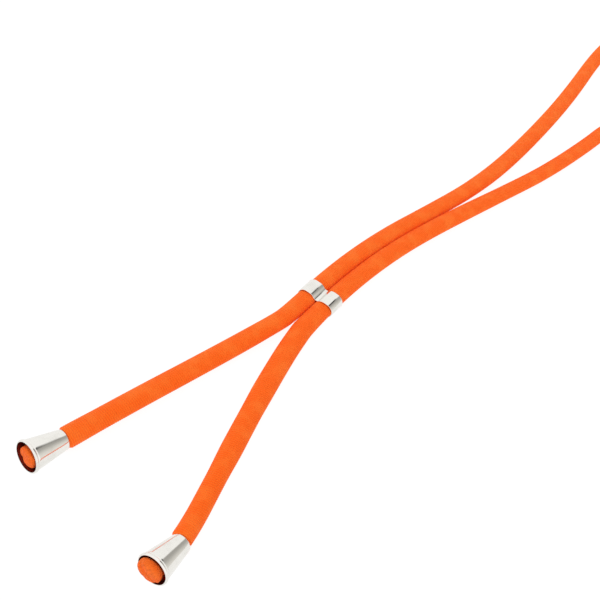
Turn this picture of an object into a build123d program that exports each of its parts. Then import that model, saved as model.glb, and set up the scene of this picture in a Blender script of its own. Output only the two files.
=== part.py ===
from build123d import *
from math import acos, atan2, cos, hypot, pi, radians, sin, sqrt, tan
import os

# Adjustable cord lanyard: one soft round cord laid double, a two-barrel sheet slider that
# holds its two strands side by side, and a bell-shaped metal cord end over a knot at each
# end of the cord. Millimetres. It lies on the plane Z = 0. +Y runs from the bells towards
# the neck loop along the slider's barrels, +X is to the right seen from above, and the
# origin is under the middle of the box around the slider and the two bells.

# ---- driving dimensions -------------------------------------------------------------
cord_diameter = 5.6        # height of the cord as it lies flat, the round section of its tube
strand_pitch = 7.8         # between the axes of two strands that lie side by side

slider_wall = 0.4          # sheet of the slider
slider_headroom = 0.15     # between the cord and the top and bottom of its barrel
slider_inner_play = 0.3    # length of the barrel's flat top, from the cord's middle inwards
slider_outer_play = 0.95   # and outwards
slider_length = 7.9        # along the cord
slider_waist_radius = 1.8  # outside radius of the dip between the two barrels
slider_turn = 1.6          # degrees, anticlockwise from +Y

bell_length = 13.9         # small end to mouth
bell_clearance = 0.6       # between the cord and the hole in the small end
bell_end_wall = 0.15       # wall at the small end
bell_land = 1.2            # length of the cylindrical hole
bell_rim_radius = 5.8      # over the rolled rim
bell_rim_stand = 0.35      # the rim stands this far out of the cone
bell_rim_length = 1.2      # of the rolled rim, along the bell
bell_mouth_wall = 0.2      # wall of the cone at its mouth
bell_hole_height = 4.15    # middle of the hole above the surface

knot_length = 4.0
knot_shoulder = 1.1        # rounding of a knot's inner edge
knot_dome = 2.6            # rounding of a knot's outer edge
knot_sag = 0.1             # of a knot below the bell's axis
left_knot_inset = 5.88     # bell's mouth to the inner face of its knot, drawn in deep
left_knot_gap = 0.25       # between the knot's inner edge and the cone
left_knot_shift = 0.0      # of the knot to the left of the cord's end, seen out of the mouth
right_knot_inset = 3.06    # this knot fills the mouth
right_knot_gap = 0.38
right_knot_shift = -0.45

coil_inner_radius = 33.0   # middle of the cord in the two stacked turns
coil_layers = 2            # stacked turns
coil_sweep = 180.0         # degrees of the last part turn, outside them, one layer high
coil_gap = 1.4             # between neighbouring turns, which a flat cord fills
rest_gap = 0.1             # between a resting cord and the surface

# ---- where things lie ----------------------------------------------------------------
travel_centre = (326.5, 73.0)         # the slider runs along an arc about this point
travel_radius = 330.0
slider_bearing = -1.615               # degrees of the slider along that arc, from level
lane_step = 5.714                     # degrees between the corners of a strand on that arc
coil_place = (29.2, 403.2)
left_bell_turn = 0.0                  # degrees of the bell, anticlockwise from its cord's end
right_bell_turn = -1.6

cord_radius = cord_diameter / 2
slider_barrel_radius = cord_radius + slider_headroom + slider_wall
ride_height = slider_barrel_radius    # axis of the cord where the slider lifts it
rest_height = cord_radius + rest_gap  # axis of the cord where it lies on the surface

turn_width = cord_diameter + coil_gap
left_lead = coil_place[0] - coil_inner_radius
right_lead = coil_place[0] + coil_inner_radius + turn_width



def on_travel_arc(radius, bearing):
    """Give the point at a bearing on an arc about the travel centre."""
    reach, rise = radius * cos(radians(bearing)), radius * sin(radians(bearing))
    return (travel_centre[0] - reach, travel_centre[1] + rise, ride_height)


def lane(radius):
    """Give the corners of a strand whose sides touch an arc about the travel centre."""
    corner_radius = radius / cos(radians(lane_step / 2))
    steps = (-0.5, 0.5, 1.5, 2.5)
    return [on_travel_arc(corner_radius, slider_bearing + step * lane_step) for step in steps]


# Corners of each strand's route, from its knot to the coil.
left_route = [
    (-25.8, -61.4, bell_hole_height),
    (-21.0, -33.5, bell_hole_height),
    (-12.3, 13.0, ride_height),
    (-7.7, 39.5, ride_height),
    *lane(travel_radius + strand_pitch / 2),
    (4.9, 175.2, ride_height),
    (6.7, 207.2, rest_height),
    (5.8, 249.2, rest_height),
    (2.9, 294.2, rest_height),
    (left_lead, 349.2, rest_height),
    (left_lead, 379.2, rest_height),
]
right_route = [
    (27.8, -65.4, bell_hole_height),
    (27.5, -54.6, bell_hole_height),
    (19.5, -26.8, bell_hole_height),
    (10.2, 5.5, ride_height),
    (4.3, 29.5, ride_height),
    (2.15, 40.5, ride_height),
    *lane(travel_radius - strand_pitch / 2),
    (17.7, 189.2, ride_height),
    (24.1, 221.2, rest_height),
    (29.1, 261.2, rest_height),
    (31.0, 289.2, rest_height),
    (45.2, 313.2, rest_height),
    (61.2, 335.2, rest_height),
    (right_lead, 359.2, rest_height),
    (right_lead, 377.2, rest_height),
]


def corner_radii(points):
    """Give the largest soft radius for each inner corner: 0.45 of its shorter run."""
    spots = [Vector(*point) for point in points]
    radii = []
    for before, corner, after in zip(spots, spots[1:], spots[2:]):
        turn = radians((corner - before).get_angle(after - corner))
        shorter = min((corner - before).length, (after - corner).length)
        radii.append(0.45 * shorter / tan(turn / 2))
    return radii


os.makedirs("parts", exist_ok=True)

# ---- cord: one tube for each strand ---------------------------------------------------
cord_routes = {"left_strand": left_route, "right_strand": right_route}
centrelines = {}
for strand_name, route_points in cord_routes.items():
    radii = corner_radii(route_points)
    with BuildPart() as strand:
        with BuildLine() as route:
            FilletPolyline(*route_points, radius=radii)
        with BuildSketch(Plane(origin=route.line @ 0, z_dir=route.line % 0)):
            Circle(cord_radius)
        sweep()
    strand.part.label = strand_name
    centrelines[strand_name] = route.wire()
    route_length = route.wire().length
    swept_volume = pi * cord_radius**2 * route_length
    print(f"{strand_name}: {route_length:.1f} long, radii {[round(r) for r in radii]},",
          f"volume over section times length {strand.part.volume / swept_volume:.4f}")
    export_step(strand.part, f"parts/{strand_name}.step")

# ---- cord: the rest of the neck loop, wound into a neat coil ------------------------------
coil_centre = Vector(*coil_place, 0)
coil_section = Plane(origin=coil_centre, x_dir=(1, 0, 0), z_dir=(0, -1, 0))
coil_axis = Axis(coil_centre, (0, 0, 1))
turn_height = cord_diameter + 2 * rest_gap
coil_height = turn_height + (coil_layers - 1) * cord_diameter
coil_edge = 0.45 * cord_diameter      # rounding of the coil's long edges
lead_overrun = 2.0                    # of the straight leads, past the coil's middle

with BuildPart() as neck_loop_coil:
    with BuildSketch(coil_section):
        with Locations((coil_inner_radius, coil_height / 2)):
            RectangleRounded(turn_width, coil_height, coil_edge)
    revolve(axis=coil_axis)
    with BuildSketch(coil_section):
        with Locations((coil_inner_radius + turn_width, turn_height / 2)):
            RectangleRounded(turn_width + coil_gap, turn_height, coil_edge)
    revolve(axis=coil_axis, revolution_arc=coil_sweep)
    for lead_end in (left_route[-1], right_route[-1]):
        with BuildSketch(Plane(origin=lead_end, x_dir=(1, 0, 0), z_dir=(0, 1, 0))):
            Circle(cord_radius)
        extrude(amount=coil_place[1] - lead_end[1] + lead_overrun)
neck_loop_coil.part.label = "neck_loop_coil"
export_step(neck_loop_coil.part, "parts/neck_loop_coil.step")

# ---- slider: a thin band around both strands, dipped between them --------------------------
slider_heading = radians(slider_turn)
slider_plane = Plane(
    origin=on_travel_arc(travel_radius, slider_bearing),
    x_dir=(cos(slider_heading), sin(slider_heading), 0),
    z_dir=(sin(slider_heading), -cos(slider_heading), 0),
)
inner_x = strand_pitch / 2 - slider_inner_play
outer_x = strand_pitch / 2 + slider_outer_play
dip_y = sqrt((slider_barrel_radius + slider_waist_radius) ** 2 - inner_x**2)
with BuildPart() as cord_slider:
    with BuildSketch(slider_plane):
        Polygon((inner_x, 0), (0, dip_y), (-inner_x, 0), (0, -dip_y))
        with Locations((0, dip_y), (0, -dip_y)):
            Circle(slider_waist_radius, mode=Mode.SUBTRACT)
        with Locations((-(inner_x + outer_x) / 2, 0), ((inner_x + outer_x) / 2, 0)):
            SlotCenterToCenter(outer_x - inner_x, 2 * slider_barrel_radius)
        offset(amount=-slider_wall, mode=Mode.SUBTRACT)
    extrude(amount=slider_length / 2, both=True)
cord_slider.part.label = "cord_slider"
export_step(cord_slider.part, "parts/cord_slider.step")

# ---- bells: a spun cone with a rolled rim, lying with its rim on the surface ----------------
bell_hole_radius = cord_radius + bell_clearance
bell_end_radius = bell_hole_radius + bell_end_wall
bell_cone_radius = bell_rim_radius - bell_rim_stand
bell_mouth_radius = bell_cone_radius - bell_mouth_wall
small_end = -bell_land / 2            # along the bell from the middle of its hole
cone_start = bell_land / 2
mouth_end = small_end + bell_length
rim_reach = mouth_end - bell_rim_length / 2
bell_tilt = acos(bell_hole_height / hypot(bell_rim_radius, rim_reach)) - atan2(
    rim_reach, bell_rim_radius
)
upright = Vector(0, 0, 1)

bells = {
    "left_bell": ("left_strand", left_knot_inset, left_bell_turn),
    "right_bell": ("right_strand", right_knot_inset, right_bell_turn),
}
for bell_name, (strand_name, knot_inset, turn) in bells.items():
    centreline = centrelines[strand_name]
    hole_reach = mouth_end - knot_inset
    hole_centre = centreline.position_at(hole_reach, position_mode=PositionMode.LENGTH)
    level_way = (-(centreline % 0)).rotate(Axis.Z, turn)
    out_of_mouth = level_way * cos(bell_tilt) + upright * sin(bell_tilt)
    across = upright * cos(bell_tilt) - level_way * sin(bell_tilt)
    profile_plane = Plane(origin=hole_centre, x_dir=across, z_dir=across.cross(out_of_mouth))
    with BuildPart() as bell:
        with BuildSketch(profile_plane):
            with BuildLine():
                Polyline(
                    (bell_mouth_radius, mouth_end),
                    (bell_hole_radius, cone_start),
                    (bell_hole_radius, small_end),
                    (bell_end_radius, small_end),
                    (bell_cone_radius, mouth_end - bell_rim_length),
                )
                ThreePointArc(
                    (bell_cone_radius, mouth_end - bell_rim_length),
                    (bell_rim_radius, rim_reach),
                    (bell_cone_radius, mouth_end),
                )
                Line((bell_cone_radius, mouth_end), (bell_mouth_radius, mouth_end))
            make_face()
        revolve(axis=Axis(hole_centre, out_of_mouth))
    bell.part.label = bell_name
    export_step(bell.part, f"parts/{bell_name}.step")

# ---- knots: the cord's ends, stopped in the mouths of the bells -------------------------------
cone_slope = (bell_mouth_radius - bell_hole_radius) / (mouth_end - cone_start)
knots = {
    "left_knot": ("left_strand", left_knot_inset, left_knot_gap, left_knot_shift),
    "right_knot": ("right_strand", right_knot_inset, right_knot_gap, right_knot_shift),
}
for knot_name, (strand_name, knot_inset, gap, shift) in knots.items():
    centreline = centrelines[strand_name]
    outwards = -(centreline % 0)
    sideways = upright.cross(outwards)
    knot_radius = bell_mouth_radius - knot_inset * cone_slope - gap
    knot_reach = mouth_end - knot_inset + knot_length / 2
    knot_rise = knot_reach * sin(bell_tilt) - knot_sag
    knot_base = centreline @ 0 + sideways * shift + upright * knot_rise
    knot_plane = Plane(origin=knot_base, x_dir=upright, z_dir=sideways)
    with BuildPart() as knot:
        with BuildSketch(knot_plane):
            with BuildLine():
                FilletPolyline(
                    (0, 0), (knot_radius, 0), (knot_radius, knot_length), (0, knot_length),
                    radius=(knot_shoulder, knot_dome),
                )
                Line((0, knot_length), (0, 0))
            make_face()
        revolve(axis=Axis(knot_base, outwards))
    knot.part.label = knot_name
    export_step(knot.part, f"parts/{knot_name}.step")
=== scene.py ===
"""Looks of an adjustable cord lanyard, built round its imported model.

One soft knitted cord lies doubled on a pale table. A sheet slider holds its two strands side
by side, and a bell-shaped cord end covers the knot at each end. The rest of the neck loop is
wound in a neat coil. All lengths are in metres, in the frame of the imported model.
"""
import logging
import math
from dataclasses import dataclass
from enum import Enum
from typing import Any, Iterable, Optional, Union

import bmesh
import bpy
from mathutils import Matrix, Vector


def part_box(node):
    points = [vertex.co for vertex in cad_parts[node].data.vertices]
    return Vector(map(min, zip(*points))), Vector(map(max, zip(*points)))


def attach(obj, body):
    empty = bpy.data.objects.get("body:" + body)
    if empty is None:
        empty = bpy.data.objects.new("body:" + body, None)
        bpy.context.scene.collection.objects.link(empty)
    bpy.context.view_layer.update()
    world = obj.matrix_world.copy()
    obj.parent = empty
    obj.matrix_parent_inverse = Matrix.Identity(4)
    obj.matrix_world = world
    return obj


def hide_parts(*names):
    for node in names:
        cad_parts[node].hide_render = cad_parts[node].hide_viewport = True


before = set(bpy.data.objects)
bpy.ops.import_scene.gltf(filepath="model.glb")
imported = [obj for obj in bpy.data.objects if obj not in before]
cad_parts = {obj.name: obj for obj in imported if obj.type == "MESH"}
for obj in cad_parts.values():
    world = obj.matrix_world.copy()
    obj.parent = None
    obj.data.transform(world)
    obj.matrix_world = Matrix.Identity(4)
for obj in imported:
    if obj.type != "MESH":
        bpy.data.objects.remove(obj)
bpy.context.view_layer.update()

log = logging.getLogger("lanyard")

MM = 0.001
FULL_TURN = math.tau
Colour = tuple[float, float, float, float]
Number = Union[float, "Signal"]


class Slot(Enum):
    """The record's material slots."""

    CORD = "cord"
    METAL = "polished_metal"


class Body(Enum):
    """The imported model's bodies."""

    CORD = "cord"
    SLIDER = "slider"
    LEFT_BELL = "left_bell"
    RIGHT_BELL = "right_bell"


# ---- shader maths ----------------------------------------------------------------------


class Signal:
    """One output of a shader node, on which Python arithmetic adds Math nodes."""

    def __init__(self, shader: "Shader", socket: bpy.types.NodeSocket) -> None:
        """Wrap a socket.

        Args:
            shader: The node tree that the socket belongs to.
            socket: The output socket.
        """
        self.shader = shader
        self.socket = socket

    def __add__(self, other: Number) -> "Signal":
        """Add."""
        return self.shader.maths("ADD", self, other)

    __radd__ = __add__

    def __mul__(self, other: Number) -> "Signal":
        """Multiply."""
        return self.shader.maths("MULTIPLY", self, other)

    __rmul__ = __mul__

    def __sub__(self, other: Number) -> "Signal":
        """Subtract."""
        return self.shader.maths("SUBTRACT", self, other)

    def __rsub__(self, other: Number) -> "Signal":
        """Subtract from."""
        return self.shader.maths("SUBTRACT", other, self)

    def __truediv__(self, other: Number) -> "Signal":
        """Divide."""
        return self.shader.maths("DIVIDE", self, other)

    def wave(self) -> "Signal":
        """Return a wave from 0 to 1 that is 1 at every whole number."""
        return self.shader.maths("COSINE", self * FULL_TURN) * 0.5 + 0.5

    def zigzag(self) -> "Signal":
        """Return a zigzag from 0 to 1 that is 0 at every whole number."""
        return self.shader.maths("PINGPONG", self * 2, 1.0)

    def clamped(self) -> "Signal":
        """Return the value held between 0 and 1."""
        return self.shader.maths("MINIMUM", self.shader.maths("MAXIMUM", self, 0.0), 1.0)

    def between(self, low: float, high: float) -> "Signal":
        """Return 0 below low and 1 above high, with a smooth rise between them.

        Args:
            low: The value that gives 0.
            high: The value that gives 1.

        Returns:
            The smooth step.
        """
        node = self.shader.node(
            "ShaderNodeMapRange",
            {"interpolation_type": "SMOOTHSTEP"},
            {"Value": self, "From Min": low, "From Max": high},
        )
        return Signal(self.shader, node.outputs["Result"])


class Shader:
    """A node tree that is filled in by short calls."""

    def __init__(self, tree: bpy.types.NodeTree) -> None:
        """Start with an empty tree.

        Args:
            tree: The tree of a material or a world.
        """
        self.tree = tree
        tree.nodes.clear()

    def node(
        self,
        kind: str,
        settings: Optional[dict[str, Any]] = None,
        inputs: Optional[dict[Union[str, int], Any]] = None,
    ) -> bpy.types.Node:
        """Make a node.

        Args:
            kind: The node's type.
            settings: Its properties, set before its inputs.
            inputs: Values or signals for its input sockets, by name or number.

        Returns:
            The node.
        """
        node = self.tree.nodes.new(kind)
        for name, value in (settings or {}).items():
            setattr(node, name, value)
        for name, value in (inputs or {}).items():
            if isinstance(value, Signal):
                self.tree.links.new(value.socket, node.inputs[name])
            elif isinstance(value, bpy.types.NodeSocket):
                self.tree.links.new(value, node.inputs[name])
            else:
                node.inputs[name].default_value = value
        return node

    def maths(self, operation: str, *values: Number) -> Signal:
        """Make a Math node.

        Args:
            operation: Its operation.
            *values: Numbers or signals for its inputs.

        Returns:
            Its value.
        """
        node = self.node("ShaderNodeMath", {"operation": operation}, dict(enumerate(values)))
        return Signal(self, node.outputs[0])

    def mix(self, share: Number, first: Any, second: Any) -> bpy.types.NodeSocket:
        """Mix two colours.

        Args:
            share: How much of the second.
            first: A colour or a socket.
            second: A colour or a socket.

        Returns:
            The mixed colour's socket.
        """
        colour_a, colour_b = 6, 7
        node = self.node(
            "ShaderNodeMix",
            {"data_type": "RGBA"},
            {0: share, colour_a: first, colour_b: second},
        )
        return node.outputs[2]

    def noise(self, place: Any, scale: float, detail: float = 2.0) -> Signal:
        """Make a noise.

        Args:
            place: The coordinate.
            scale: How many cells a unit of the coordinate has.
            detail: How many finer layers it has.

        Returns:
            The noise, from 0 to 1.
        """
        node = self.node(
            "ShaderNodeTexNoise", {}, {"Vector": place, "Scale": scale, "Detail": detail}
        )
        return Signal(self, node.outputs["Fac"])

    def bump(self, height: Signal, distance: float) -> bpy.types.NodeSocket:
        """Make a bump.

        Args:
            height: The height, from 0 to 1.
            distance: The height of 1, in metres.

        Returns:
            The normal's socket.
        """
        inputs = {"Height": height, "Distance": distance, "Strength": 1.0}
        return self.node("ShaderNodeBump", {}, inputs).outputs["Normal"]


# ---- finishes ---------------------------------------------------------------------------


@dataclass(frozen=True)
class KnitFinish:
    """The cord's knitted jacket, with painted shade in its stitch grooves. Its map has turns round
    the cord in U and metres along in V.
    """

    name: str
    crest: Colour = (0.98, 0.150, 0.010, 1.0)
    # Painted shade: the valley colour is the thread darkened and reddened where shade falls in the
    # grooves.
    valley_shade: Colour = (0.95, 0.095, 0.003, 1.0)
    warm: Colour = (0.99, 0.200, 0.024, 1.0)
    course: float = 0.85 * MM
    lean: float = 2.0
    wales: float = 18.0
    stitch_height: float = 0.15 * MM
    fuzz_scale: float = 5200.0
    patch_scale: float = 170.0
    wear: float = 0.45

    def material(self) -> bpy.types.Material:
        """Return the jacket's material."""
        material = bpy.data.materials.new(self.name)
        material.use_nodes = True
        shader = Shader(material.node_tree)
        weave = shader.node("ShaderNodeUVMap", {"uv_map": "weave"}).outputs["UV"]
        parts = shader.node("ShaderNodeSeparateXYZ", {}, {"Vector": weave})
        around, along = Signal(shader, parts.outputs["X"]), Signal(shader, parts.outputs["Y"])
        place = shader.node("ShaderNodeTexCoord").outputs["Object"]

        wale = (around * self.wales).zigzag()
        course = along / self.course + around * self.lean
        stitches = (course + wale * 0.2).wave()
        groove = wale.between(0.0, 0.35)
        fuzz = shader.noise(place, self.fuzz_scale, 3.0)
        patches = shader.noise(place, self.patch_scale, 3.0)
        height = stitches * 0.7 + groove * 0.15 + fuzz * 0.15

        # Painted shade: the stitch and wale grooves are coloured darker and redder and the crests
        # lighter, on top of the bump.
        relief_shading = (stitches * 0.7 + groove * 0.15 + fuzz * 0.3).clamped()
        shaded_thread = shader.mix(relief_shading, self.valley_shade, self.crest)
        worn = patches.between(0.42, 0.66) * self.wear
        coloured = shader.mix(worn, shaded_thread, self.warm)
        surface = shader.node(
            "ShaderNodeBsdfPrincipled",
            {},
            {
                "Base Color": coloured,
                "Roughness": 0.72 + fuzz * 0.2,
                "Specular IOR Level": 0.12,
                "Sheen Weight": 0.18,
                "Sheen Roughness": 0.45,
                "Sheen Tint": (1.0, 0.62, 0.38, 1.0),
                "Normal": shader.bump(height, self.stitch_height),
            },
        )
        shader.node("ShaderNodeOutputMaterial", {}, {"Surface": surface.outputs[0]})
        return material


@dataclass(frozen=True)
class NickelFinish:
    """Polished nickel plate with the faint haze and hairlines of handling."""

    name: str
    plate: Colour = (0.80, 0.785, 0.745, 1.0)
    dull: Colour = (0.70, 0.685, 0.64, 1.0)
    polish: float = 0.09
    haze: float = 0.09
    ripple: float = 0.012 * MM
    cloud_scale: float = 260.0
    hair_scale: float = 3800.0

    def material(self) -> bpy.types.Material:
        """Return the plate's material."""
        material = bpy.data.materials.new(self.name)
        material.use_nodes = True
        shader = Shader(material.node_tree)
        place = shader.node("ShaderNodeTexCoord").outputs["Object"]
        clouds = shader.noise(place, self.cloud_scale, 4.0)
        hairs = shader.noise(place, self.hair_scale, 2.0)
        haze = clouds.between(0.4, 0.75)
        surface = shader.node(
            "ShaderNodeBsdfPrincipled",
            {},
            {
                "Base Color": shader.mix(haze * 0.6, self.plate, self.dull),
                "Metallic": 1.0,
                "Roughness": self.polish + haze * self.haze + hairs * 0.03,
                "Normal": shader.bump(clouds * 0.7 + hairs * 0.3, self.ripple),
            },
        )
        shader.node("ShaderNodeOutputMaterial", {}, {"Surface": surface.outputs[0]})
        return material


@dataclass(frozen=True)
class TableFinish:
    """A pale light table, which glows a little and takes the faintest shade."""

    name: str
    colour: Colour = (0.92, 0.92, 0.915, 1.0)
    glow: float = 1.08
    share: float = 0.85

    def material(self) -> bpy.types.Material:
        """Return the table's material."""
        material = bpy.data.materials.new(self.name)
        material.use_nodes = True
        shader = Shader(material.node_tree)
        matt = shader.node("ShaderNodeBsdfDiffuse", {}, {"Color": self.colour})
        glow = shader.node(
            "ShaderNodeEmission", {}, {"Color": (1.0, 1.0, 1.0, 1.0), "Strength": self.glow}
        )
        surface = shader.node(
            "ShaderNodeMixShader",
            {},
            {0: self.share, 1: matt.outputs[0], 2: glow.outputs[0]},
        )
        shader.node("ShaderNodeOutputMaterial", {}, {"Surface": surface.outputs[0]})
        return material


# ---- pieces -----------------------------------------------------------------------------


def finished(
    shape: bmesh.types.BMesh,
    name: str,
    material: bpy.types.Material,
    slot: Slot,
    body: Body,
    *nodes: str,
) -> bpy.types.Object:
    """Turn a shape into a piece that rides on a body and stands for CAD nodes.

    Args:
        shape: The shape, in its place. It is freed.
        name: The piece's name.
        material: What it is made of.
        slot: The record's slot that its finish comes from. It is not used.
        body: The body that it rides on.
        *nodes: The CAD nodes that it replaces.

    Returns:
        The piece.
    """
    mesh = bpy.data.meshes.new(name)
    shape.to_mesh(mesh)
    shape.free()
    mesh.materials.append(material)
    piece = bpy.data.objects.new(name, mesh)
    bpy.context.scene.collection.objects.link(piece)
    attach(piece, body.value)
    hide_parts(*nodes)
    log.info("%s: %d faces, stands for %s", name, len(mesh.polygons), ", ".join(nodes))
    return piece


def spun(
    outline: Iterable[tuple[float, float]], steps: int, closed: bool = False
) -> bmesh.types.BMesh:
    """Spin an outline into a round shape about the Z axis.

    Args:
        outline: (radius, height) points in order.
        steps: How many steps a full turn takes.
        closed: Whether the last point joins the first.

    Returns:
        The shape, with its faces outwards.
    """
    shape = bmesh.new()
    corners = [shape.verts.new((radius, 0.0, height)) for radius, height in outline]
    edges = [shape.edges.new(pair) for pair in zip(corners, corners[1:])]
    if closed:
        edges.append(shape.edges.new((corners[-1], corners[0])))
    bmesh.ops.spin(
        shape,
        geom=corners + edges,
        cent=(0.0, 0.0, 0.0),
        axis=(0.0, 0.0, 1.0),
        angle=FULL_TURN,
        steps=steps,
        use_merge=True,
    )
    bmesh.ops.remove_doubles(shape, verts=shape.verts, dist=1e-7)
    bmesh.ops.recalc_face_normals(shape, faces=shape.faces)
    for face in shape.faces:
        face.smooth = True
    return shape


def eased(value: float, low: float, high: float) -> float:
    """Return 0 below low and 1 above high, with a smooth rise between them."""
    share = min(1.0, max(0.0, (value - low) / (high - low)))
    return share * share * (3.0 - 2.0 * share)


# ---- the cord ---------------------------------------------------------------------------


@dataclass
class CordLine:
    """The middle of the whole cord, from the left knot through the coil to the right knot."""

    hole: float = 4.15 * MM
    ride: float = 3.35 * MM
    rest: float = 2.9 * MM
    pitch: float = 7.8 * MM
    travel_centre: tuple[float, float] = (0.3265, 0.0730)
    travel_radius: float = 330.0 * MM
    slider_bearing: float = math.radians(-1.615)
    lane_step: float = math.radians(5.714)
    coil_centre: tuple[float, float] = (0.0292, 0.4032)
    turn_radius: float = 33.0 * MM
    outer_radius: float = 40.0 * MM
    upper_layer: float = 8.5 * MM
    turns: float = 2.5
    climb: tuple[float, float] = (0.79, 0.90)
    widening: tuple[float, float] = (1.80, 2.0)
    descent: tuple[float, float] = (2.03, 2.14)
    steps_per_turn: int = 24
    spacing: float = 0.195 * MM

    def __post_init__(self) -> None:
        """Lay the spline and read points from it at an even spacing."""
        left, coil, right = self.left_points(), self.coil_points(), self.right_points()
        self.points = self._spaced(self._spline(left + coil + right[::-1]))
        self.length = (len(self.points) - 1) * self.spacing
        self.left_end = self._nearest(Vector(left[-1]))
        self.right_end = self._nearest(Vector(right[-1]))

    def on_travel_arc(self, radius: float, bearing: float) -> tuple[float, float, float]:
        """Return the point at a bearing on an arc about the slider's centre of travel."""
        x, y = self.travel_centre
        return (x - radius * math.cos(bearing), y + radius * math.sin(bearing), self.ride)

    def lane(self, radius: float) -> list[tuple[float, float, float]]:
        """Return the corners of a strand whose sides touch an arc along the slider's travel."""
        corner = radius / math.cos(self.lane_step / 2)
        bearings = (self.slider_bearing + step * self.lane_step for step in (-0.5, 0.5, 1.5, 2.5))
        return [self.on_travel_arc(corner, bearing) for bearing in bearings]

    def left_points(self) -> list[tuple[float, float, float]]:
        """Return the left strand's route, from its knot to the coil."""
        return [
            (-0.0258, -0.0614, self.hole),
            (-0.0210, -0.0335, self.hole),
            (-0.0123, 0.0130, self.ride),
            (-0.0077, 0.0395, self.ride),
            *self.lane(self.travel_radius + self.pitch / 2),
            (0.0049, 0.1752, self.ride),
            (0.0067, 0.2072, self.rest),
            (0.0058, 0.2492, self.rest),
            (0.0029, 0.2942, self.rest),
            (-0.0038, 0.3492, self.rest),
            (-0.0038, 0.3792, self.rest),
        ]

    def right_points(self) -> list[tuple[float, float, float]]:
        """Return the right strand's route, from its knot to the coil."""
        return [
            (0.0278, -0.0654, self.hole),
            (0.0275, -0.0546, self.hole),
            (0.0195, -0.0268, self.hole),
            (0.0102, 0.0055, self.ride),
            (0.0043, 0.0295, self.ride),
            (0.00215, 0.0405, self.ride),
            *self.lane(self.travel_radius - self.pitch / 2),
            (0.0177, 0.1892, self.ride),
            (0.0241, 0.2212, self.rest),
            (0.0291, 0.2612, self.rest),
            (0.0310, 0.2892, self.rest),
            (0.0452, 0.3132, self.rest),
            (0.0612, 0.3352, self.rest),
            (0.0692, 0.3592, self.rest),
            (0.0692, 0.3772, self.rest),
        ]

    def coil_points(self) -> list[tuple[float, float, float]]:
        """Return the coil, clockwise: a turn on the table, one on top, and half a turn outside."""
        step = FULL_TURN / self.steps_per_turn
        reach = 1.0 / math.cos(step / 2)
        points = []
        for index in range(int(self.turns * self.steps_per_turn)):
            turned = (index + 0.5) / self.steps_per_turn
            lift = eased(turned, *self.climb) - eased(turned, *self.descent)
            out = eased(turned, *self.widening)
            radius = self.turn_radius + (self.outer_radius - self.turn_radius) * out
            angle = math.pi - turned * FULL_TURN
            points.append(
                (
                    self.coil_centre[0] + radius * reach * math.cos(angle),
                    self.coil_centre[1] + radius * reach * math.sin(angle),
                    self.rest + (self.upper_layer - self.rest) * lift,
                )
            )
        return points

    @staticmethod
    def _spline(route: list[tuple[float, float, float]]) -> list[Vector]:
        """Read close points from a smooth spline through a route.

        Args:
            route: The route's points.

        Returns:
            Points on the spline, in order.
        """
        curve = bpy.data.curves.new("cord_route", "CURVE")
        curve.dimensions = "3D"
        curve.resolution_u = 24
        spline = curve.splines.new("NURBS")
        spline.points.add(len(route) - 1)
        for point, place in zip(spline.points, route):
            point.co = (*place, 1.0)
        spline.order_u = 3
        spline.use_endpoint_u = True
        carrier = bpy.data.objects.new("cord_route", curve)
        mesh = bpy.data.meshes.new_from_object(carrier)
        places = [vertex.co.copy() for vertex in mesh.vertices]
        bpy.data.objects.remove(carrier)
        bpy.data.curves.remove(curve)
        bpy.data.meshes.remove(mesh)
        return places

    def _spaced(self, places: list[Vector]) -> list[Vector]:
        """Space points evenly along a line.

        Args:
            places: The line's points.

        Returns:
            Points on the line, self.spacing apart.
        """
        spaced, walked, wanted = [places[0]], 0.0, self.spacing
        for start, end in zip(places, places[1:]):
            run = (end - start).length
            while run > 0.0 and walked + run >= wanted:
                spaced.append(start.lerp(end, (wanted - walked) / run))
                wanted += self.spacing
            walked += run
        return spaced

    def _nearest(self, place: Vector) -> int:
        """Return the number of the point that is nearest to a place."""
        return min(range(len(self.points)), key=lambda i: (self.points[i] - place).length)

    def _run(self, index: int) -> Vector:
        """Return the vector from a little before a point to a little after it."""
        before = self.points[max(0, index - 3)]
        after = self.points[min(len(self.points) - 1, index + 3)]
        return after - before

    def side(self, index: int) -> Vector:
        """Return the level unit vector to the right of the cord at a point."""
        return self._run(index).cross(Vector((0.0, 0.0, 1.0))).normalized()

    def forward(self, index: int) -> Vector:
        """Return the unit vector along the cord at a point."""
        return self._run(index).normalized()


@dataclass(frozen=True)
class Fullness:
    """A stretch of a strand that lies wider or narrower. It is measured from the cord's end."""

    middle: float
    reach: float
    extra: float

    def at(self, distance: float) -> float:
        """Return the extra width at a distance from the cord's end."""
        return self.extra * (1.0 - eased(abs(distance - self.middle), 0.5 * self.reach, self.reach))


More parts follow.
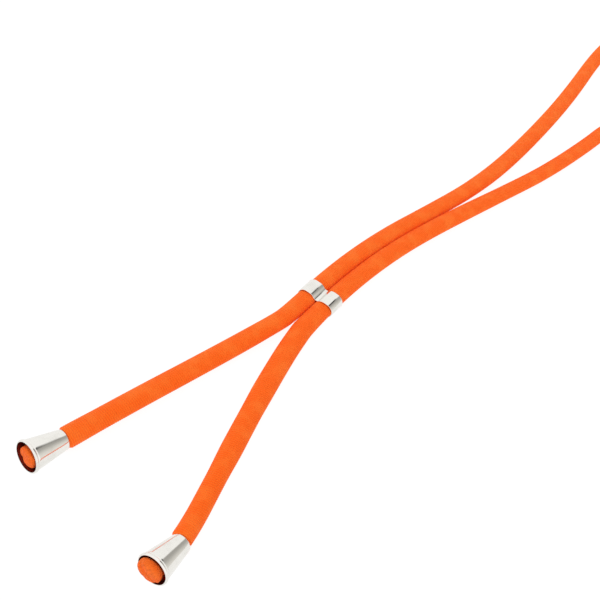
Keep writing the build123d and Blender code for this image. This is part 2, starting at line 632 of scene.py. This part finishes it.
@dataclass
class KnitCord:
    """The cord's jacket as a closed tube round a stretch of its line."""

    line: CordLine
    material: bpy.types.Material
    across: float = 7.75 * MM
    high: float = 5.3 * MM
    neck: float = 6.3 * MM
    flare: tuple[float, float] = (0.3 * MM, 1.3 * MM)
    flattening: tuple[float, float] = (2.0 * MM, 16.0 * MM)
    swell: float = 0.7 * MM
    bell_reaches: tuple[float, float] = (8.0 * MM, 10.8 * MM)
    courses_per_metre: float = 1.0 / (0.85 * MM)
    rib: float = 0.05 * MM
    sides: int = 26
    left_fullness: tuple[Fullness, ...] = (
        Fullness(50.0 * MM, 50.0 * MM, 0.10 * MM),
        Fullness(106.0 * MM, 14.0 * MM, -0.10 * MM),
        Fullness(310.0 * MM, 90.0 * MM, 0.20 * MM),
    )
    right_fullness: tuple[Fullness, ...] = (
        Fullness(18.0 * MM, 34.0 * MM, -0.75 * MM),
        Fullness(97.0 * MM, 32.0 * MM, 0.45 * MM),
        Fullness(300.0 * MM, 80.0 * MM, -0.45 * MM),
    )

    def widths(self, index: int) -> tuple[float, float]:
        """Work out how wide and high the cord is at a point.

        Args:
            index: The point's number on the line.

        Returns:
            Half the width and half the height.
        """
        from_left = index * self.line.spacing
        from_right = self.line.length - from_left
        out = min(from_left - self.bell_reaches[0], from_right - self.bell_reaches[1])
        full = self.across
        full += sum(stretch.at(from_left) for stretch in self.left_fullness)
        full += sum(stretch.at(from_right) for stretch in self.right_fullness)
        flared = eased(out, *self.flare)
        wide = self.neck + (full - self.neck) * flared
        flat = eased(out, *self.flattening)
        high = self.neck + (self.high - self.neck) * flat
        high += self.swell * flared * (1.0 - flat)
        return wide / 2, high / 2

    def build(self, name: str, node: str, first: int, last: int) -> bpy.types.Object:
        """Build the tube between two points of the line.

        Args:
            name: The piece's name.
            node: The CAD node that it replaces.
            first: The first point's number.
            last: The last point's number.

        Returns:
            The piece.
        """
        rings = last - first
        shape = bmesh.new()
        weave = shape.loops.layers.uv.new("weave")
        bmesh.ops.create_grid(
            shape, x_segments=self.sides, y_segments=rings, size=0.5, calc_uvs=True
        )
        for face in shape.faces:
            face.smooth = True
            for loop in face.loops:
                along = (first + loop[weave].uv.y * rings) * self.line.spacing
                loop[weave].uv = (loop[weave].uv.x, along)
        stations = []
        for index in range(first, last + 1):
            wide, high = self.widths(index)
            side, forward = self.line.side(index), self.line.forward(index)
            stations.append((self.line.points[index], side, side.cross(forward), wide, high))
        for vertex in shape.verts:
            ring = round((vertex.co.y + 0.5) * rings)
            turn = vertex.co.x + 0.5
            centre, side, up, wide, high = stations[ring]
            x, y = math.cos(turn * FULL_TURN), math.sin(turn * FULL_TURN)
            course = (first + ring) * self.line.spacing * self.courses_per_metre + 2 * turn
            crest = 1.0 + self.rib * math.cos(course * FULL_TURN) / high
            vertex.co = centre + side * (x * wide * crest) + up * (y * high * crest)
        bmesh.ops.remove_doubles(shape, verts=shape.verts, dist=1e-6)
        rims = [edge for edge in shape.edges if edge.is_boundary]
        for edge in rims:
            edge.smooth = False
        bmesh.ops.holes_fill(shape, edges=rims, sides=0)
        bmesh.ops.recalc_face_normals(shape, faces=shape.faces)
        return finished(shape, name, self.material, Slot.CORD, Body.CORD, node)


@dataclass
class CordKnot:
    """The knotted and sealed end of the cord, drawn into a bell."""

    name: str
    node: str
    material: bpy.types.Material
    outwards: Vector
    fold_turn: float
    flatness: float = 0.62
    fullness: float = 1.0
    nudge: Vector = Vector()
    squareness: float = 2.8
    lump: float = 0.22 * MM
    fold: float = 0.42 * MM
    fold_width: float = 0.75 * MM
    sway: float = 0.9 * MM
    second_fold: float = 0.45
    second_sway: float = 0.7 * MM
    rings: int = 48
    sides: int = 96

    def build(self) -> bpy.types.Object:
        """Return the knot, a domed button with the crossing folds of the cord."""
        low, high = (Vector(corner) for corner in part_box(self.node))
        middle = (low + high) / 2
        outwards = self.outwards.normalized()
        radius = (high.z - low.z) / 2
        reach = abs(outwards.x) * radius * 2
        size = radius * self.fullness
        half_length = ((high.y - low.y) - reach) / (2 * abs(outwards.y))
        shape = bmesh.new()
        shape.loops.layers.uv.new("weave")
        bmesh.ops.create_uvsphere(
            shape, u_segments=self.sides, v_segments=self.rings, radius=1.0, calc_uvs=True
        )
        turn = outwards.to_track_quat("Z", "Y").to_matrix().to_4x4()
        place = Matrix.Translation(middle + self.nudge) @ turn
        for vertex in shape.verts:
            vertex.co = place @ self._dressed(vertex.co, size, half_length)
        for face in shape.faces:
            face.smooth = True
        bmesh.ops.remove_doubles(shape, verts=shape.verts, dist=1e-7)
        bmesh.ops.recalc_face_normals(shape, faces=shape.faces)
        return finished(shape, self.name, self.material, Slot.CORD, Body.CORD, self.node)

    def _dressed(self, spot: Vector, radius: float, half_length: float) -> Vector:
        """Shape one point of a unit sphere into the knot.

        Args:
            spot: The point.
            radius: The knot's radius.
            half_length: Half of its length.

        Returns:
            The point of the knot, which looks along +Z.
        """
        level = math.hypot(spot.x, spot.y)
        square = self.squareness
        button = 1.0 / (level**square + abs(spot.z) ** square) ** (1 / square)
        x, y = spot.x * button * radius, spot.y * button * radius
        z = math.copysign(abs(spot.z * button) ** self.flatness, spot.z) * half_length
        angle = self.fold_turn
        u = x * math.cos(angle) + y * math.sin(angle)
        v = y * math.cos(angle) - x * math.sin(angle)
        seam = v - self.sway * math.sin(u / radius * 2.6)
        second = u + 0.25 * radius + self.second_sway * math.sin(v / radius * 2.0)
        front = eased(spot.z, 0.0, 0.5)
        dent = math.exp(-((seam / self.fold_width) ** 2))
        crossing = math.exp(-((second / self.fold_width) ** 2))
        dent += self.second_fold * crossing * eased(v, -0.2 * radius, 0.3 * radius)
        z -= self.fold * dent * front
        lump = math.sin(3 * u / radius + 1.0) * math.cos(2.6 * v / radius)
        shrink = 1.0 - (self.lump / radius) * (0.5 + 0.5 * lump)
        return Vector((x * shrink, y * shrink, z - self.lump * (0.5 - 0.5 * lump) * front))


# ---- metal ------------------------------------------------------------------------------


@dataclass
class Bell:
    """A spun bell-shaped cord end with a rolled rim. Along it, 0 is the middle of its hole.

    Its outside is plated, and its inside is painted a dark red that stands for the cord's reflected
    red and the shade in the mouth.
    """

    name: str
    node: str
    body: Body
    material: bpy.types.Material
    inside: bpy.types.Material
    hole: Vector
    heading: float
    rim_radius: float = 5.8 * MM
    rim_stand: float = 0.35 * MM
    rim_length: float = 1.2 * MM
    wall: float = 0.2 * MM
    hole_radius: float = 3.4 * MM
    end_wall: float = 0.15 * MM
    small_end: float = -0.6 * MM
    mouth_end: float = 13.3 * MM
    groove: float = 0.14 * MM
    groove_length: float = 0.32 * MM
    roll_depth: float = 0.52 * MM
    lip: float = 0.3 * MM
    steps: int = 128

    def outline(self) -> list[tuple[float, float]]:
        """Return the section's (radius, along) points, from the hole's edge round the wall."""
        cone = self.rim_radius - self.rim_stand
        mouth = cone - self.wall
        end = self.hole_radius + self.end_wall
        rim_start = self.mouth_end - self.rim_length
        roll = self.rim_length / 2
        centre = self.mouth_end - roll
        points = [
            (self.hole_radius + 0.05 * MM, self.small_end),
            (self.hole_radius, self.small_end + 0.06 * MM),
            (self.hole_radius, -self.small_end),
        ]
        points += [
            (
                self.hole_radius + (mouth - self.hole_radius) * share,
                -self.small_end + (self.mouth_end - 0.25 * MM + self.small_end) * share,
            )
            for share in (0.03, 0.25, 0.5, 0.75, 0.97)
        ]
        points.append((mouth + 0.03 * MM, self.mouth_end - 0.08 * MM))
        for index in range(13):
            angle = math.radians(100 - index * 17)
            points.append(
                (
                    self.rim_radius - self.roll_depth + self.roll_depth * math.cos(angle),
                    centre + roll * math.sin(angle),
                )
            )
        slope = (cone - end) / (rim_start - self.small_end)
        points.append((cone - self.groove, rim_start - 0.10 * MM))
        past_groove = cone - 0.02 * MM - slope * self.groove_length
        points.append((past_groove, rim_start - self.groove_length))
        points += [
            (end + (cone - end) * share, self.small_end + (rim_start - self.small_end) * share)
            for share in (0.94, 0.7, 0.45, 0.2, 0.02)
        ]
        points.append((end - 0.04 * MM, self.small_end))
        return points

    def build(self) -> bpy.types.Object:
        """Return the bell, lying with its rim on the table."""
        ride = self.hole.z
        reach = self.mouth_end - self.rim_length / 2
        lift = math.acos(ride / math.hypot(self.rim_radius, reach))
        tilt = lift - math.atan2(reach, self.rim_radius)
        level = Vector((math.cos(self.heading), math.sin(self.heading), 0.0))
        axis = level * math.cos(tilt) + Vector((0.0, 0.0, math.sin(tilt)))
        shape = spun(self.outline(), self.steps, closed=True)
        for face in shape.faces:
            middle = face.calc_center_median()
            looks_in = Vector((middle.x, middle.y, 0.0)).dot(face.normal) < 0.0
            # Inward faces below the lip take the second material, a painted dark red reflection of
            # the cord with painted shade.
            face.material_index = int(looks_in and middle.z < self.mouth_end - self.lip)
        turn = axis.to_track_quat("Z", "Y").to_matrix().to_4x4()
        bmesh.ops.transform(shape, matrix=Matrix.Translation(self.hole) @ turn, verts=shape.verts)
        piece = finished(shape, self.name, self.material, Slot.METAL, self.body, self.node)
        piece.data.materials.append(self.inside)
        return piece


@dataclass
class Slider:
    """A band of sheet, dipped between two flattened barrels, with rounded edges."""

    material: bpy.types.Material
    place: Vector
    turn: float = math.radians(1.6)
    inner: float = 3.6 * MM
    outer: float = 4.85 * MM
    barrel: float = 3.35 * MM
    waist: float = 1.8 * MM
    wall: float = 0.4 * MM
    length: float = 7.9 * MM
    edge: float = 0.11 * MM

    def build(self) -> bpy.types.Object:
        """Return the slider, from a mid-wall outline that is drawn out and thickened."""
        barrel, waist = self.barrel - self.wall / 2, self.waist + self.wall / 2
        dip = math.sqrt((barrel + waist) ** 2 - self.inner**2)
        lean = math.atan2(dip, self.inner)
        shape = bmesh.new()
        first = (-self.inner + barrel * math.cos(lean), 0.0, barrel * math.sin(lean))
        tip = shape.verts.new(first)
        flank, hollow = math.pi / 2 - lean, math.pi - 2 * lean
        flat = self.outer - self.inner
        for way in (-1.0, 1.0):
            tip = self._arc(shape, tip, (way * self.inner, 0.0), -flank, 10)
            tip = self._line(shape, tip, way * flat)
            tip = self._arc(shape, tip, (way * self.outer, 0.0), -math.pi, 32)
            tip = self._line(shape, tip, -way * flat)
            tip = self._arc(shape, tip, (way * self.inner, 0.0), -flank, 10)
            tip = self._arc(shape, tip, (0.0, way * dip), hollow, 18)
        bmesh.ops.remove_doubles(shape, verts=shape.verts, dist=1e-6)
        band = bmesh.ops.extrude_edge_only(shape, edges=shape.edges[:])
        drawn = [item for item in band["geom"] if isinstance(item, bmesh.types.BMVert)]
        bmesh.ops.translate(shape, vec=(0.0, self.length, 0.0), verts=drawn)
        bmesh.ops.translate(shape, vec=(0.0, -self.length / 2, 0.0), verts=shape.verts)
        bmesh.ops.recalc_face_normals(shape, faces=shape.faces)
        for face in shape.faces:
            face.smooth = True
        pose = Matrix.Translation(self.place) @ Matrix.Rotation(self.turn, 4, "Z")
        bmesh.ops.transform(shape, matrix=pose, verts=shape.verts)
        piece = finished(
            shape, "slider_band", self.material, Slot.METAL, Body.SLIDER, "cord_slider"
        )
        sheet = piece.modifiers.new("sheet", "SOLIDIFY")
        sheet.thickness = self.wall
        sheet.offset = 0.0
        sheet.use_even_offset = True
        rounded = piece.modifiers.new("rounded_edges", "BEVEL")
        rounded.width = self.edge
        rounded.segments = 3
        rounded.limit_method = "ANGLE"
        rounded.angle_limit = math.radians(50)
        return piece

    @staticmethod
    def _arc(
        shape: bmesh.types.BMesh,
        tip: bmesh.types.BMVert,
        centre: tuple[float, float],
        sweep: float,
        steps: int,
    ) -> bmesh.types.BMVert:
        """Draw an arc from a corner, in the XZ plane.

        Args:
            shape: The outline.
            tip: The corner that it starts from.
            centre: The arc's centre, as X and Z.
            sweep: Its angle about +Y.
            steps: How many edges it has.

        Returns:
            The corner that it ends at.
        """
        made = bmesh.ops.spin(
            shape,
            geom=[tip],
            cent=(centre[0], 0.0, centre[1]),
            axis=(0.0, 1.0, 0.0),
            angle=sweep,
            steps=steps,
        )
        return next(item for item in made["geom_last"] if isinstance(item, bmesh.types.BMVert))

    @staticmethod
    def _line(
        shape: bmesh.types.BMesh, tip: bmesh.types.BMVert, run: float
    ) -> bmesh.types.BMVert:
        """Draw a level line from a corner and return the corner that it ends at."""
        end = bmesh.ops.extrude_vert_indiv(shape, verts=[tip])["verts"][0]
        end.co.x += run
        return end


# ---- the table, the light and the camera --------------------------------------------------


@dataclass
class Studio:
    """A light table in a soft white tent, with a narrow dark gap behind it."""

    table_side: float = 30.0
    daylight: float = 1.12
    gap_lean: float = 0.27
    gap_place: float = 0.08
    gap_depth: float = 0.90
    left_white: float = 0.97
    front_white: float = 1.05
    right_grey: float = 0.40
    right_rise: float = 0.44

    def build(self) -> None:
        """Make the table and the light."""
        shape = bmesh.new()
        bmesh.ops.create_grid(shape, x_segments=1, y_segments=1, size=self.table_side / 2)
        mesh = bpy.data.meshes.new("table")
        shape.to_mesh(mesh)
        shape.free()
        mesh.materials.append(TableFinish("pale_table").material())
        table = bpy.data.objects.new("table", mesh)
        table.location.z = -0.02 * MM
        bpy.context.scene.collection.objects.link(table)
        self._sky()
        settings = bpy.context.scene.view_settings
        settings.view_transform = "Standard"
        settings.look = "None"

    def _sky(self) -> None:
        """Make the tent: white on the left, a thin dark gap, and grey fading to white."""
        world = bpy.data.worlds.new("tent")
        bpy.context.scene.world = world
        world.use_nodes = True
        shader = Shader(world.node_tree)
        way = shader.node("ShaderNodeTexCoord").outputs["Generated"]
        parts = shader.node("ShaderNodeSeparateXYZ", {}, {"Vector": way})
        x, y, z = (Signal(shader, parts.outputs[axis]) for axis in "XYZ")
        behind = y.between(0.05, 0.45)
        off_gap = x - z * self.gap_lean + self.gap_place
        right = off_gap.between(-0.02, 0.10)
        gap = (1.0 - off_gap.between(0.13, 0.24)) * off_gap.between(-0.10, -0.02)
        grey = self.right_grey + off_gap.between(0.20, 1.0) * self.right_rise
        back = right * grey + (1.0 - right) * self.left_white
        back = back * (1.0 - gap * z.between(0.61, 0.70) * self.gap_depth)
        light = back * behind + (1.0 - behind) * self.front_white
        tint = shader.mix(right * behind, (1.0, 1.0, 0.995, 1.0), (1.0, 0.975, 0.925, 1.0))
        glow = shader.node(
            "ShaderNodeBackground", {}, {"Color": tint, "Strength": light * self.daylight}
        )
        shader.node("ShaderNodeOutputWorld", {}, {"Surface": glow.outputs[0]})


@dataclass
class View:
    """The camera, above and in front of the bells."""

    place: Vector
    forward: Vector
    roll: float
    lens: float = 59.18
    shift: tuple[float, float] = (0.0068, 0.0025)

    def build(self) -> None:
        """Make the camera."""
        data = bpy.data.cameras.new("camera")
        data.sensor_width = 36.0
        data.lens = self.lens
        data.shift_x, data.shift_y = self.shift
        data.clip_start, data.clip_end = 0.01, 100.0
        camera = bpy.data.objects.new("camera", data)
        aim = self.forward.to_track_quat("-Z", "Y").to_matrix().to_4x4()
        camera.matrix_world = (
            Matrix.Translation(self.place) @ aim @ Matrix.Rotation(self.roll, 4, "Z")
        )
        bpy.context.scene.collection.objects.link(camera)
        bpy.context.scene.camera = camera


# ---- the lanyard --------------------------------------------------------------------------


class Lanyard:
    """The whole lanyard."""

    left_hole: tuple[float, float] = (-0.02454, -0.05409)
    left_heading: float = math.radians(260.24)
    right_hole: tuple[float, float] = (0.02728, -0.05518)
    right_heading: float = math.radians(269.99)

    def __init__(self) -> None:
        """Make the finishes and the cord's line."""
        self.knit = KnitFinish("knitted_jacket").material()
        self.sealed = KnitFinish("sealed_end", stitch_height=0.05 * MM).material()
        self.nickel = NickelFinish("polished_nickel").material()
        # Painted reflection and shade: the bell's inside is coloured dark red for the cord's red
        # seen in it and the dim mouth.
        self.painted_reflection = NickelFinish(
            "inside_painted_reflection", (0.36, 0.055, 0.03, 1.0), (0.16, 0.03, 0.02, 1.0), 0.36, 0.1
        ).material()
        self.line = CordLine()
        log.info("cord: %.3f m long", self.line.length)

    def build_metal(self) -> None:
        """Build the slider and the bells."""
        line = self.line
        Slider(
            self.nickel, Vector(line.on_travel_arc(line.travel_radius, line.slider_bearing))
        ).build()
        for body, hole, heading in (
            (Body.LEFT_BELL, self.left_hole, self.left_heading),
            (Body.RIGHT_BELL, self.right_hole, self.right_heading),
        ):
            Bell(
                f"{body.value}_shell",
                body.value,
                body,
                self.nickel,
                self.painted_reflection,
                Vector((*hole, line.hole)),
                heading,
            ).build()

    def build_cord(self) -> None:
        line = self.line
        end = len(line.points) - 1
        cord = KnitCord(line, self.knit)
        spans = {
            "left_strand": (0, line.left_end),
            "neck_loop_coil": (line.left_end, line.right_end),
            "right_strand": (line.right_end, end),
        }
        tubes = {
            node: cord.build(f"{node}_jacket", node, first, last)
            for node, (first, last) in spans.items()
        }
        left_out = line.points[0] - line.points[6]
        right_out = line.points[end] - line.points[end - 6]
        left_knot = CordKnot(
            "left_cord_knot",
            "left_knot",
            self.sealed,
            left_out,
            fold_turn=0.5,
            fullness=0.93,
            nudge=left_out.normalized() * 2.7 * MM + Vector((-0.1, 0.0, 0.0)) * MM,
        ).build()
        right_knot = CordKnot(
            "right_cord_knot",
            "right_knot",
            self.sealed,
            right_out,
            fold_turn=2.3,
            flatness=0.85,
            nudge=Vector((-0.45, -1.4, 0.3)) * MM,
        ).build()


def main() -> None:
    """Build the studio and the lanyard."""
    logging.basicConfig(level=logging.INFO, format="%(message)s")
    Studio().build()
    View(
        place=Vector((0.0948, -0.1931, 0.2771)),
        forward=Vector((-0.2704, 0.6463, -0.7136)),
        roll=math.radians(19.2),
    ).build()
    lanyard = Lanyard()
    lanyard.build_metal()
    lanyard.build_cord()


if __name__ == "__main__":
    main()
